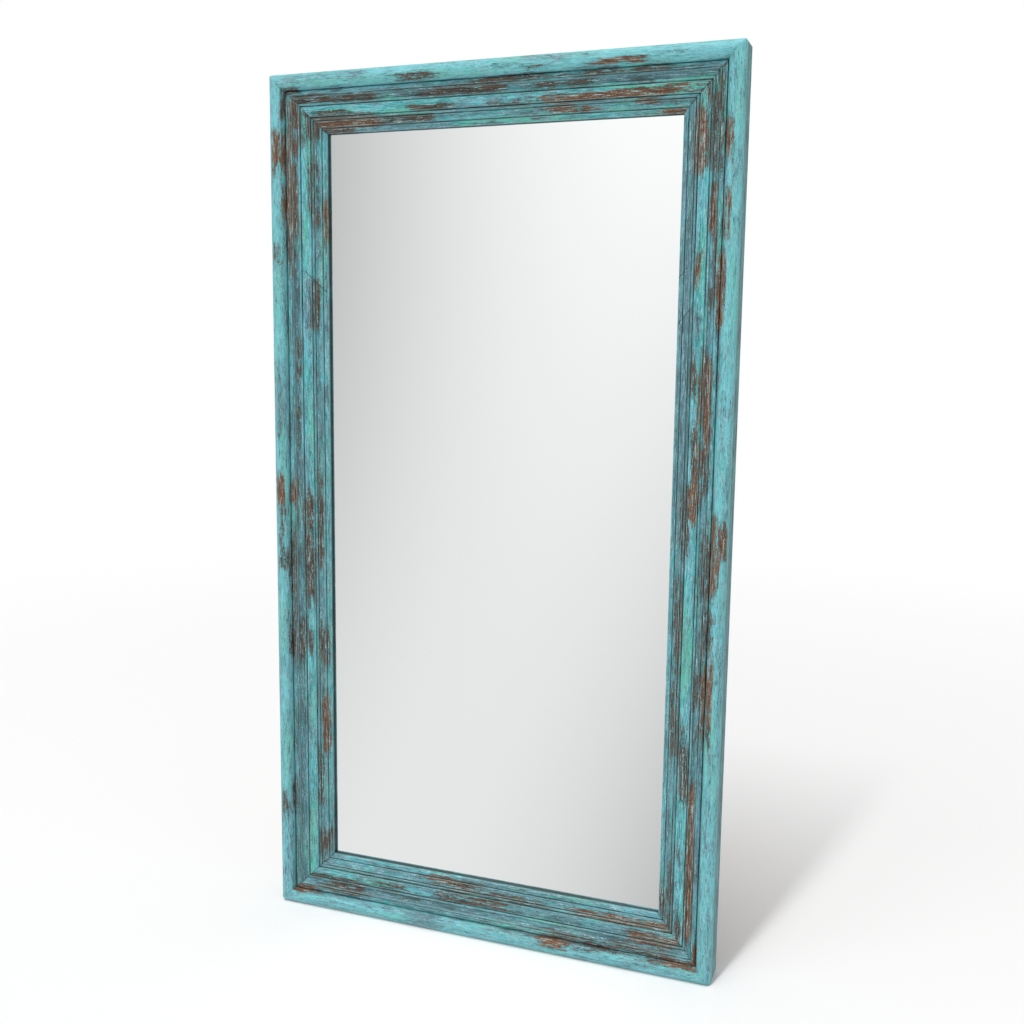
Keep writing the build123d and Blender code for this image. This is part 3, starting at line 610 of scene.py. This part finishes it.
def wear_depth(kind, offset, run, u, from_end):
    """How far waviness, knocks and the open mitre sink a point of the front, in millimetres."""
    wave = 0.5 + 0.5 * noise.noise(Vector((run / 90 + offset * 9, u / 30, 1.5)))
    knock = max(0.0, noise.noise(Vector((run / 14, u / 5 + offset * 5, 7.0))) - 0.32)
    sink = WAVE_DEPTH * wave + KNOCK_DEPTH * knock * (1.0 if kind == "face" else 0.4)
    mitre_gap = max(0.0, 1 - (from_end - u) / MITRE_GAP_WIDTH)
    return sink + MITRE_GAP_DEPTH * mitre_gap


def paint_marks(side, kind, run, u, d, from_end, on_front, height):
    """The paint's marks at a point of a moulding, with its painted shade and highlight, by the names of PAINT_MARKS.
    Height is a share of the whole.
    """
    worn, rusty, greyed = wear_at(side, run, u) if on_front else (0.0, 0.0, 0.0)
    near_mitre = max(0.0, 1 - (from_end - u) / 5) if on_front else 0.0
    # Painted shade on the side walls, backs and rebate; on the front, dark wash and painted shade in the grooves, and
    # dark mitre joints
    groove = SIDE_SHADE
    if on_front:
        groove = max(groove_at(u), MITRE_WASH[kind] * max(0.0, 1 - (from_end - u) / 1.4))
    # Painted shade on the lip's inner side, where it meets the glass
    if kind == "face" and u > SIGHT_EDGE - 0.6 and d > LIP_FRONT + 0.8:
        groove = LIP_SIDE_SHADE
    return {
        "worn": max(worn, 0.6 * near_mitre * (kind == "face")),
        "rusty": rusty,
        "greyed": greyed + (FLOOR_GRIME * (1 - height) + (band_grime(u) if on_front else 0.0)),
        "groove": groove,
        "field": 1.0 if kind == "face" else 0.42,
        "arris": arris_at(u) if on_front else 0.0,
    }


def moulding(side, kind, section):
    """One mitred length of moulding, with worn arrises, a slight waviness, and the paint's marks with its painted
    shade and highlight as attributes.
    """
    corner, inward, along = SIDES[side]
    origin = Vector((corner.x * HALF_WIDTH, FRONT_Y, corner.z * HEIGHT))
    length = (HEIGHT if along.z else 2 * HALF_WIDTH) / MM
    bm = moulding_blank(section, origin, inward, along, length)
    cut_mitres(bm, kind, origin, inward, along, length)

    grain = bm.verts.layers.float_vector.new("grain")
    layers = {name: bm.verts.layers.float.new(name) for name in PAINT_MARKS}
    offset = SIDE_OFFSET[side]
    for v in bm.verts:
        place = v.co - origin
        run, u, d = place.dot(along) / MM, place.dot(inward) / MM, place.y / MM
        from_end = min(run, length - run)
        on_front = kind == "edge" and d < QUIRK_FLOOR + 0.1 or kind == "face" and d < GLASS_FRONT + 0.1
        v[grain] = (run * MM + offset, u * MM, d * MM)
        for name, value in paint_marks(side, kind, run, u, d, from_end, on_front, v.co.z / HEIGHT).items():
            v[layers[name]] = value

        # Waviness and knocks move the front towards the wall, never past the outline
        if on_front and d < GLASS_FRONT - 1:
            v.co += BACK * wear_depth(kind, offset, run, u, from_end) * MM

        # The outer corners are rounded
        corner_radius = TOP_RADIUS if v.co.z > HEIGHT / 2 else BOTTOM_RADIUS
        if kind == "edge" and u < corner_radius and from_end < corner_radius:
            a, b = corner_radius - u, corner_radius - from_end
            pull = 1 - max(a, b) / (a * a + b * b) ** 0.5
            towards = along if run < length / 2 else -along
            v.co += (inward * a + towards * b) * pull * MM
    return bm


def draw_on(bm, front, move=None, bend=None):
    """Extrudes a wire's open end by a move, or round a centre by an angle about Y, and returns its new end."""
    pushed = bmesh.ops.extrude_edge_only(bm, edges=front)["geom"]
    verts = [v for v in pushed if isinstance(v, bmesh.types.BMVert)]
    if move:
        bmesh.ops.translate(bm, verts=verts, vec=move)
    if bend:
        centre, angle = bend
        bmesh.ops.rotate(bm, verts=verts, cent=centre, matrix=Matrix.Rotation(angle, 3, "Y"))
    ends = set(verts)
    return [e for e in bm.edges if e.verts[0] in ends and e.verts[1] in ends]


def d_ring(node):
    """A ring of round wire bent to a D: a straight bar, two bends, two legs and a half-round foot."""
    low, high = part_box(node)
    bar_place = Vector(((low.x + high.x) / 2, (low.y + high.y) / 2, high.z - RING_BAR_DROP * MM))
    half, bend, arm = RING_HALF_WIDTH * MM, RING_BEND * MM, RING_ARM * MM
    bm = bmesh.new()
    across = Matrix.Translation(bar_place) @ Matrix.Rotation(pi / 2, 4, "Y")
    bmesh.ops.create_circle(bm, segments=16, radius=RING_WIRE * MM, matrix=across)
    end = draw_on(bm, bm.edges[:], move=Vector((half - bend, 0, 0)))
    turns = (
        (bar_place + Vector((half - bend, 0, -bend)), pi / 2, 6, Vector((0, 0, -arm))),
        (bar_place + Vector((0, 0, -bend - arm)), pi, 24, Vector((0, 0, arm))),
        (bar_place + Vector((bend - half, 0, -bend)), pi / 2, 6, Vector((half - bend, 0, 0))),
    )
    for centre, angle, steps, straight in turns:
        for _ in range(steps):
            end = draw_on(bm, end, bend=(centre, angle / steps))
        end = draw_on(bm, end, move=straight)
    bmesh.ops.remove_doubles(bm, verts=bm.verts[:], dist=0.02 * MM)
    bmesh.ops.recalc_face_normals(bm, faces=bm.faces[:])
    return bm


def screw_template(profile, recess):
    """A screw that looks along +Y from the origin, as a mesh: its profile lists radius and depth from the flat of
    its head to its tip, and the recess is the reach, width and depth of its cross."""
    reach, width, depth = (size * MM for size in recess)
    bm = bmesh.new()
    turned = Matrix.Rotation(-pi / 2, 4, "X")
    bmesh.ops.create_circle(bm, cap_ends=True, segments=24, radius=profile[0][0] * MM, matrix=turned)
    for axis in (Vector((1, 0, 0)), Vector((0, 0, 1))):
        for offset in (-reach, -width / 2, width / 2, reach):
            bmesh.ops.bisect_plane(
                bm, geom=bm.verts[:] + bm.edges[:] + bm.faces[:], plane_co=axis * offset, plane_no=axis
            )
    cross = []
    for face in bm.faces:
        middle = face.calc_center_median()
        inner, outer = sorted((abs(middle.x), abs(middle.z)))
        if inner < width / 2 and outer < reach:
            cross.append(face)
    sunk = bmesh.ops.extrude_face_region(bm, geom=cross)["geom"]
    floor = [v for v in sunk if isinstance(v, bmesh.types.BMVert)]
    bmesh.ops.translate(bm, verts=floor, vec=Vector((0, -depth, 0)))
    bmesh.ops.scale(bm, verts=floor, vec=Vector((0.75, 1, 0.75)))
    rim = [e for e in bm.edges if e.is_boundary]
    for (before, high), (after, low) in zip(profile, profile[1:]):
        pushed = bmesh.ops.extrude_edge_only(bm, edges=rim)["geom"]
        verts = [v for v in pushed if isinstance(v, bmesh.types.BMVert)]
        bmesh.ops.translate(bm, verts=verts, vec=Vector((0, (high - low) * MM, 0)))
        bmesh.ops.scale(bm, verts=verts, vec=Vector((after / before, 1, after / before)))
        rim = [e for e in bm.edges if e.is_boundary]
    bmesh.ops.edgeloop_fill(bm, edges=rim)
    bmesh.ops.recalc_face_normals(bm, faces=bm.faces[:])
    mesh = bpy.data.meshes.new("screw_template")
    bm.to_mesh(mesh)
    bm.free()
    return mesh


def screw_spots(node):
    """The place of each screw of a CAD node, at the middle of its head's outer face, and its length."""
    source = bmesh.new()
    source.from_mesh(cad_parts[node].data)
    bmesh.ops.remove_doubles(source, verts=source.verts[:], dist=0.01 * MM)
    waiting, spots = set(source.verts), []
    while waiting:
        island, edge_of = [], [waiting.pop()]
        while edge_of:
            vert = edge_of.pop()
            island.append(vert.co.copy())
            for edge in vert.link_edges:
                other = edge.other_vert(vert)
                if other in waiting:
                    waiting.remove(other)
                    edge_of.append(other)
        xs, ys, zs = ([co[axis] for co in island] for axis in range(3))
        spots.append((Vector(((min(xs) + max(xs)) / 2, max(ys), (min(zs) + max(zs)) / 2)), max(ys) - min(ys)))
    source.free()
    return sorted(spots, key=lambda spot: (round(spot[0].x, 4), spot[0].z))


def screw_set(node, head, recess):
    """All the screws of a CAD node, each turned as it happened to end."""
    spots = screw_spots(node)
    length = spots[0][1] / MM
    shank = [(SHANK, head[-1][1]), (SHANK, length - 4), (0.3, length)]
    template = screw_template(list(head) + shank, recess)
    bm = bmesh.new()
    for place, _ in spots:
        known = set(bm.verts)
        bm.from_mesh(template)
        added = [v for v in bm.verts if v not in known]
        turn = Matrix.Rotation(random.uniform(0, pi), 3, "Y")
        bmesh.ops.rotate(bm, verts=added, cent=Vector(), matrix=turn)
        bmesh.ops.translate(bm, verts=added, vec=place)
    bpy.data.meshes.remove(template)
    return bm


def paint_node(name, material):
    """Gives a CAD node that stays as it is a better material."""
    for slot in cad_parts[name].material_slots:
        slot.link = "OBJECT"
        slot.material = material


def build_object():
    """The worn mouldings, the finishes of the CAD nodes that stay, and the hardware."""
    paint = distressed_paint()
    for side in SIDES:
        for kind, section in (("edge", edge_section()), ("face", face_section())):
            bm = moulding(side, kind, section)
            finish_piece(bm, f"{kind}_rail_{side}", paint, [f"{kind}_moulding_{side}"])
    pine_upright = grained_wood("planed_pine_upright", srgb("#C79F70"), srgb("#A2764A"), 9, True)
    pine_level = grained_wood("planed_pine_level", srgb("#C79F70"), srgb("#A2764A"), 9, False)
    zinc, rubber = zinc_plate(), black_rubber()
    beech = grained_wood("pressed_beech", srgb("#C9A077"), srgb("#A87F57"), 5, False)
    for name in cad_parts:
        if name in ("back_batten_left", "back_batten_right"):
            paint_node(name, pine_upright)
        elif name.startswith("back_batten"):
            paint_node(name, pine_level)
        elif name.endswith("biscuits"):
            paint_node(name, beech)
        elif name.startswith("bumper") or name == "setting_blocks":
            paint_node(name, rubber)
        elif name == "backing_board":
            paint_node(name, brown_hardboard())
        elif name == "mirror_glass":
            paint_node(name, silvered_glass())
        elif name.startswith(("corner_brace", "hanger_strap")):
            paint_node(name, zinc)
    build_hardware(zinc)


def build_hardware(zinc):
    """The two rings, each on its own body, and the screws."""
    for side in ("left", "right"):
        node = f"hanger_ring_{side}"
        finish_piece(d_ring(node), f"d_ring_{side}", zinc, [node], f"ring_{side}")
    for node, head, recess in (
        ("board_screws", PAN_HEAD, (1.9, 0.9, 1.3)), ("brace_screws", FLAT_HEAD, (1.8, 0.8, 1.2)),
        ("hanger_screws", FLAT_HEAD, (1.8, 0.8, 1.2)),
    ):
        finish_piece(screw_set(node, head, recess), f"cross_{node}", zinc, [node])


# Stage

def build_stage():
    """The ground, the studio's light and its two lamps."""
    bm = bmesh.new()
    bmesh.ops.create_grid(bm, x_segments=1, y_segments=1, size=60)
    mesh = bpy.data.meshes.new("ground")
    bm.to_mesh(mesh)
    bm.free()
    ground = bpy.data.objects.new("ground", mesh)
    bpy.context.scene.collection.objects.link(ground)
    mesh.materials.append(white_ground())

    world = bpy.data.worlds.new("studio")
    bpy.context.scene.world = world
    world.use_nodes = True
    tree = world.node_tree
    tree.nodes.clear()
    path = add_node(tree, "ShaderNodeLightPath")
    seen = math_node(tree, "MAXIMUM", path.outputs["Is Camera Ray"], path.outputs["Is Transmission Ray"])
    ways = add_node(tree, "ShaderNodeTexCoord").outputs["Generated"]
    split = add_node(tree, "ShaderNodeSeparateXYZ", None, {0: ways})

    # What a mirror sees: a pale studio with a soft slanting drift of grey
    aside = math_node(tree, "MULTIPLY_ADD", split.outputs["X"], 7.7, 2.77)
    above = math_node(tree, "MULTIPLY_ADD", split.outputs["Z"], 3.57, 0.46)
    slant = weighed(tree, 0.096, (above, 0.16), (aside, -0.119))
    drift = math_node(tree, "MULTIPLY_ADD", aside, slant, weighed(tree, 0.917, (above, 0.03)))
    room = math_node(tree, "MINIMUM", math_node(tree, "MAXIMUM", drift, 0.6), 1.1)
    level = blend_node(tree, path.outputs["Is Glossy Ray"], STUDIO_LIGHT, room)
    level = math_node(tree, "MAXIMUM", level, seen)
    sky = add_node(tree, "ShaderNodeBackground", None, {"Color": (1, 1, 1, 1), "Strength": level})
    add_node(tree, "ShaderNodeOutputWorld", None, {"Surface": sky.outputs[0]})

    # A tall narrow softbox far off keeps the shadow's side crisp and lets its top fade
    box = bpy.data.lights.new("strip_softbox", "AREA")
    box.shape = "RECTANGLE"
    box.size, box.size_y = SOFTBOX_SIZE
    box.energy = SOFTBOX_POWER
    place_lamp(box, Vector((-0.17, -0.9, 2.6)).normalized() * SOFTBOX_AWAY)

    fill = bpy.data.lights.new("front_fill", "SUN")
    fill.energy = FILL_POWER
    fill.angle = radians(FILL_SPREAD)
    place_lamp(fill, Vector((-0.3, -0.85, 0.42))).visible_glossy = False


def place_lamp(light, place):
    """Hangs a lamp there, turned to the middle of the object."""
    lamp = bpy.data.objects.new(light.name, light)
    bpy.context.scene.collection.objects.link(lamp)
    lamp.location = place
    lamp.rotation_euler = place.to_track_quat("Z", "Y").to_euler()
    return lamp


def build_camera():
    """The camera, a little to the right and above the middle, turned down and rolled a trace."""
    data = bpy.data.cameras.new("camera")
    data.sensor_width = 36.0
    data.lens = CAMERA_LENS
    camera = bpy.data.objects.new("camera", data)
    bpy.context.scene.collection.objects.link(camera)
    turn = CAMERA_FORWARD.to_track_quat("-Z", "Y") @ Quaternion((0, 0, 1), radians(CAMERA_ROLL))
    camera.matrix_world = Matrix.Translation(CAMERA_PLACE) @ turn.to_matrix().to_4x4()
    bpy.context.scene.camera = camera


random.seed(SEED)
build_object()
build_stage()
build_camera()
bpy.context.scene.view_settings.view_transform = "Standard"
